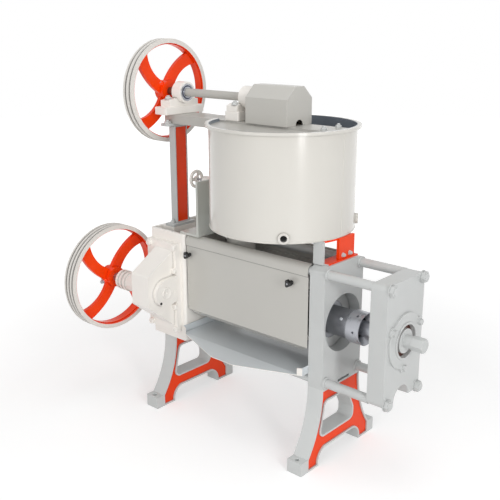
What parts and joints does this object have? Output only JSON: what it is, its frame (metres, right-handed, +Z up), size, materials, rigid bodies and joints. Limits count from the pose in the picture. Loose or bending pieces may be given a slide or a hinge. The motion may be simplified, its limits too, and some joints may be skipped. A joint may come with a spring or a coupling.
{
  "type": "screw oil press",
  "caption": "Screw oil press with a steam cooking kettle on top, belt pulleys, tie rods, a swinging cover and an oil tray on two cast stands.",
  "frame": {"origin": "on the floor, in the middle of the four foot bolts", "axes": "+X along the press axis from the belt pulleys to the cake outlet, -Y towards the cover and the lip of the oil tray, +Z up"},
  "size_m": [1.5155, 0.7745, 1.62],
  "materials": {
    "grey_paint": "gloss enamel over cast iron and plate",
    "cream_paint": "gloss enamel on rolled sheet",
    "red_paint": "gloss enamel",
    "machined_steel": "turned",
    "dark_steel": "oiled",
    "plated_sheet": "plated sheet",
    "bearing_steel": "ground",
    "bronze": "cast and bored",
    "black_plastic": "moulded"
  },
  "bodies": {
    "press_frame": {"beam_post": "red_paint", "bearing_blocks": "grey_paint", "bevel_guard": "cream_paint", "cage_bars": "dark_steel", "cage_bolts": "dark_steel", "cage_lower_half": "grey_paint", "cage_upper_half": "grey_paint", "choke_body": "machined_steel", "cover_stay_bar": "grey_paint", "end_bearing": "bearing_steel", "end_bearing_cap": "grey_paint", "end_cap_bolts": "machined_steel", "end_plate": "grey_paint", "feed_chute": "grey_paint", "feed_housing": "grey_paint", "gear_case_nose": "cream_paint", "gear_frame": "grey_paint", "gear_frame_rear_cover": "grey_paint", "input_bearing_housing": "grey_paint", "input_bearings": "bearing_steel", "kettle_base": "dark_steel", "kettle_left_support": "grey_paint", "kettle_lid": "cream_paint", "kettle_liner": "dark_steel", "kettle_right_support": "grey_paint", "kettle_shell": "cream_paint", "left_stand": "red_paint", "main_bearings": "bearing_steel", "nose_bolts": "machined_steel", "oil_tray": "plated_sheet", "pillow_blocks": "grey_paint", "rear_guard": "grey_paint", "right_stand": "red_paint", "rod_collars": "grey_paint", "rod_nuts": "machined_steel", "steam_valve": "bronze", "stirrer_bearings": "bronze", "thrust_plate": "grey_paint", "tie_rods": "grey_paint", "top_beam": "grey_paint", "tray_bars": "plated_sheet"},
    "worm_drive": {"worm_shaft": "machined_steel", "worms": "dark_steel", "main_gear": "dark_steel", "worm_shaft_nut": "machined_steel"},
    "input_drive": {"input_shaft": "machined_steel", "input_pinion": "dark_steel", "lower_pulley": "red_paint"},
    "upper_drive": {"upper_shaft": "machined_steel", "upper_pulley": "red_paint", "bevel_pinion": "dark_steel"},
    "stirrer_drive": {"stirrer": "dark_steel", "crown_gear": "dark_steel"},
    "collar": {"choke_collar": "machined_steel"},
    "ring": {"choke_ring": "machined_steel"},
    "cover": {"front_cover": "cream_paint"},
    "left_knob": {"cover_knob_left": "black_plastic"},
    "right_knob": {"cover_knob_right": "black_plastic"},
    "handwheel": {"valve_handwheel": "grey_paint"},
    "gate": {"feed_gate": "dark_steel"}
  },
  "joints": [
    {"name": "worm_shaft_spin", "type": "hinge", "parent": "press_frame", "child": "worm_drive", "pos_m": [0, 0, 0.566], "axis": [1, 0, 0], "continuous": true},
    {"name": "input_shaft_spin", "type": "hinge", "parent": "press_frame", "child": "input_drive", "pos_m": [0, -0.228, 0.566], "axis": [1, 0, 0], "continuous": true},
    {"name": "upper_shaft_spin", "type": "hinge", "parent": "press_frame", "child": "upper_drive", "pos_m": [0, 0, 1.398], "axis": [1, 0, 0], "continuous": true},
    {"name": "stirrer_spin", "type": "hinge", "parent": "press_frame", "child": "stirrer_drive", "pos_m": [0.1345, 0, 1], "axis": [0, 0, 1], "continuous": true},
    {"name": "choke_collar_slide", "type": "slide", "parent": "press_frame", "child": "collar", "axis": [1, 0, 0], "range_m": [0, 0.015]},
    {"name": "choke_ring_spin", "type": "hinge", "parent": "collar", "child": "ring", "pos_m": [0.53, 0, 0.566], "axis": [1, 0, 0], "range_deg": [0, 1349]},
    {"name": "cover_swing", "type": "hinge", "parent": "press_frame", "child": "cover", "pos_m": [0, -0.107, 0.786], "axis": [-1, 0, 0], "range_deg": [0, 100]},
    {"name": "left_knob_turn", "type": "hinge", "parent": "cover", "child": "left_knob", "pos_m": [-0.2675, -0.14, 0.727], "axis": [0, 1, 0], "range_deg": [-180, 180]},
    {"name": "right_knob_turn", "type": "hinge", "parent": "cover", "child": "right_knob", "pos_m": [0.2915, -0.14, 0.727], "axis": [0, 1, 0], "range_deg": [-180, 180]},
    {"name": "handwheel_turn", "type": "hinge", "parent": "press_frame", "child": "handwheel", "pos_m": [-0.3505, 0, 1.027], "axis": [-1, 0, 0], "range_deg": [0, 1080]},
    {"name": "gate_slide", "type": "slide", "parent": "press_frame", "child": "gate", "axis": [0, 1, 0], "range_m": [0, 0.11]}
  ],
  "couplings": [
    {"joint": "input_shaft_spin", "follows": "worm_shaft_spin", "ratio": -5},
    {"joint": "stirrer_spin", "follows": "upper_shaft_spin", "ratio": -0.5},
    {"joint": "choke_collar_slide", "follows": "choke_ring_spin", "m_per_rad": 0.00063662}
  ]
}
